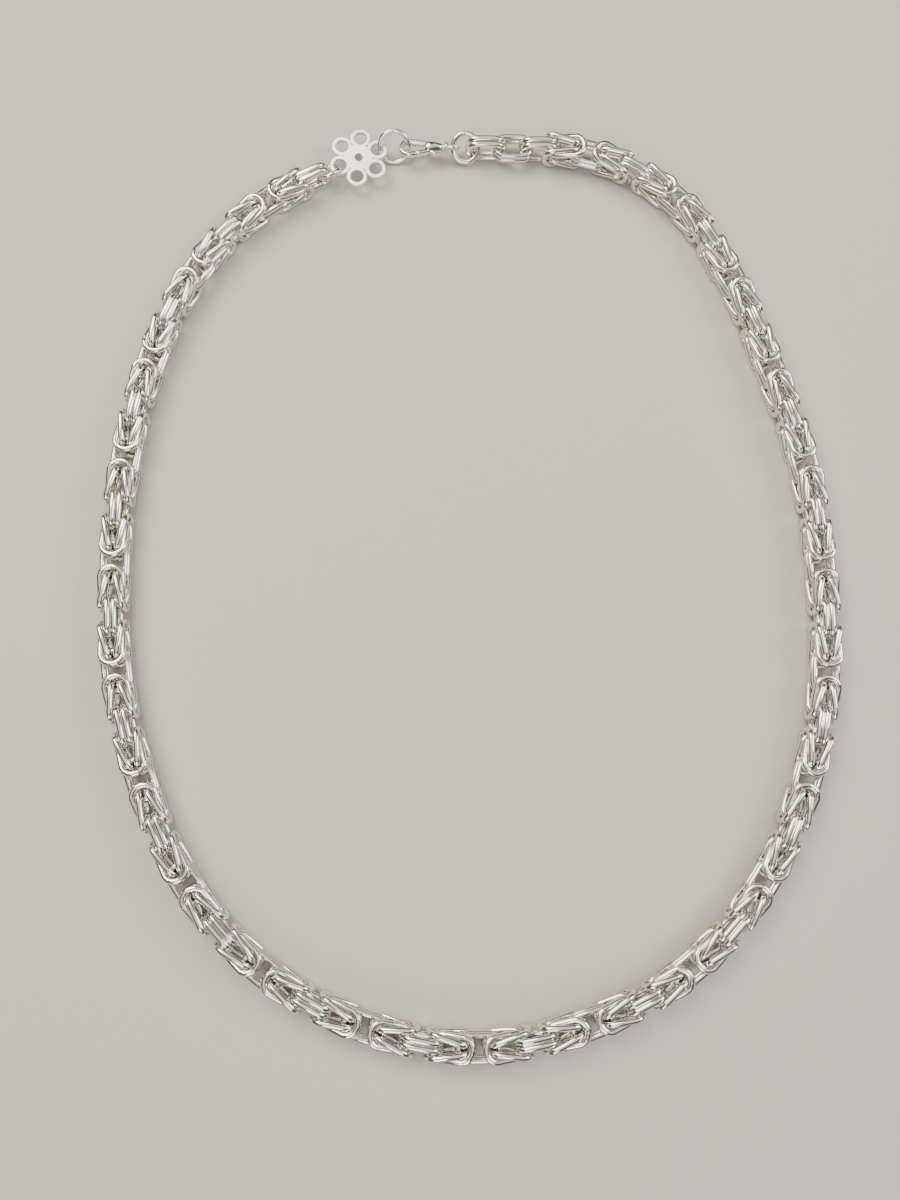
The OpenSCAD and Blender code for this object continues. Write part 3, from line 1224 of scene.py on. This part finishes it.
        # The web joins the nib to the hub
        web = ((4.2, -0.75, 0.4, 0.96), (4.9, -0.85, 0.55, 0.96), (5.5, -1.05, 0.3, 0.96))
        for rows, corner, steps in ((nib, 0.7, 4), (web, 0.3, 2)):
            sections = [(x, y, half_y, self.lever_half * share) for x, y, half_y, share in rows]
            cut_or_weld(lever, loft_through(sections, corner, steps), Change.WELD)
        hole = make_round(self.pin_r + self.lever_gap, self.through, pivot, sides=24)
        cut_or_weld(lever, hole, Change.CUT)
        return lever

    def rivet(self) -> bpy.types.Object:
        """Models the rivet with its two domed heads.

        Returns:
            The rivet.
        """
        pin = make_round(self.pin_r, self.pin_length, Vector((*self.pivot, 0)), sides=24)
        soften(pin, self.pin_dome, segments=4, angle_deg=60)
        return pin

    def build(self, silver: bpy.types.Material) -> None:
        """Builds the three pieces.

        Args:
            silver: The casting's material.
        """
        for name, node, ride, piece in (
            ("cast_body", "clasp_body", BODY, self.body()),
            ("sprung_lever", "clasp_lever", LEVER, self.lever()),
            ("lever_rivet", "clasp_pin", BODY, self.rivet()),
        ):
            piece.name = name
            seat(piece, self.place)
            dress(piece, silver, ride, smooth_deg=38)
            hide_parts(node)
            LOG.info("%s: %d faces", name, len(piece.data.polygons))


@dataclass
class Studio:
    """The pale board, the soft lights and the camera at the photograph's angle."""

    board_size: float = 3.0
    # The camera's tilt from straight down and the side that it leans to, from the photograph's perspective
    tilt_deg: float = 9.32
    lean_deg: float = 11.1
    camera_at: tuple[float, float, float] = (-0.00923, -0.0342, 0.1675)
    lens_mm: float = 27.0
    sensor_mm: float = 36.0
    # Name, place in metres, length of the side in metres, power in watts and colour of each light
    lights: tuple[tuple[str, tuple[float, float, float], float, float, str], ...] = (
        ("key", (-0.35, 0.4, 0.6), 0.5, 6.8, "#FFF4E6"),
        ("ceiling", (-0.02, 0.12, 0.85), 1.3, 4.6, "#FFFCF6"),
        ("fill", (0.6, 0.1, 0.45), 0.35, 3.0, "#FBFAFF"),
        ("front", (-0.1, -0.65, 0.5), 0.35, 2.4, "#FFFFFF"),
    )
    room_colour: str = "#BDB9B2"
    room_strength: float = 0.26

    def lay_board(self) -> None:
        """Lays the board under the necklace."""
        select_only()
        bpy.ops.mesh.primitive_plane_add(size=self.board_size, location=(0, 0, 0))
        board = settle(bpy.context.object)
        board.name = "board"
        board.data.materials.append(PaleBoard().build())

    def add_light(self, name: str, spot: Vector, size: float, watts: float, colour: str) -> None:
        """Adds a soft square light that faces the necklace.

        Args:
            name: The light's name.
            spot: Where it hangs, in metres.
            size: The length of its side, in metres.
            watts: Its power.
            colour: Its sRGB hex colour.
        """
        lamp = bpy.data.lights.new(name, "AREA")
        lamp.shape = "SQUARE"
        lamp.size = size
        lamp.energy = watts
        lamp.color = hex_to_linear(colour)[:3]
        holder = bpy.data.objects.new(name, lamp)
        holder.location = spot
        holder.rotation_euler = (-spot).to_track_quat("-Z", "Y").to_euler()
        bpy.context.scene.collection.objects.link(holder)

    def light(self) -> None:
        """Hangs the lights and sets the room's own glow."""
        for name, spot, size, watts, colour in self.lights:
            self.add_light(name, Vector(spot), size, watts, colour)
        world = bpy.data.worlds.new("soft_room")
        bpy.context.scene.world = world
        world.use_nodes = True
        glow = world.node_tree.nodes["Background"]
        glow.inputs["Color"].default_value = hex_to_linear(self.room_colour)
        glow.inputs["Strength"].default_value = self.room_strength

    def place_camera(self) -> None:
        """Puts the camera at the photograph's viewing angle."""
        tilt, lean = math.radians(self.tilt_deg), math.radians(self.lean_deg)
        up = Vector((math.sin(tilt) * math.sin(lean), math.sin(tilt) * math.cos(lean), math.cos(tilt)))
        across = (Vector((1, 0, 0)) - up * up.x).normalized()
        away = up.cross(across)
        camera = bpy.data.cameras.new("camera")
        camera.lens = self.lens_mm
        camera.sensor_width = self.sensor_mm
        holder = bpy.data.objects.new("camera", camera)
        bpy.context.scene.collection.objects.link(holder)
        holder.matrix_world = Matrix.Translation(self.camera_at) @ Matrix((across, away, up)).to_4x4()
        bpy.context.scene.camera = holder

    def build(self) -> None:
        """Builds the whole studio."""
        self.lay_board()
        self.light()
        self.place_camera()
        LOG.info("studio: a board, %d lights and a camera", len(self.lights))


def main() -> None:
    """Builds the pieces in order and reports each."""
    polished = PolishedSilver().build()
    satin = SatinSilver().build()
    route = Route()
    LOG.info("route: %.2f mm", route.length / MM)
    KnottedChain(route).build(polished)
    EndLinks(route).build(polished)
    JumpRings().build(polished)
    PetalTag().build(satin)
    LobsterClasp().build(polished)
    Studio().build()


if __name__ == "__main__":
    main()
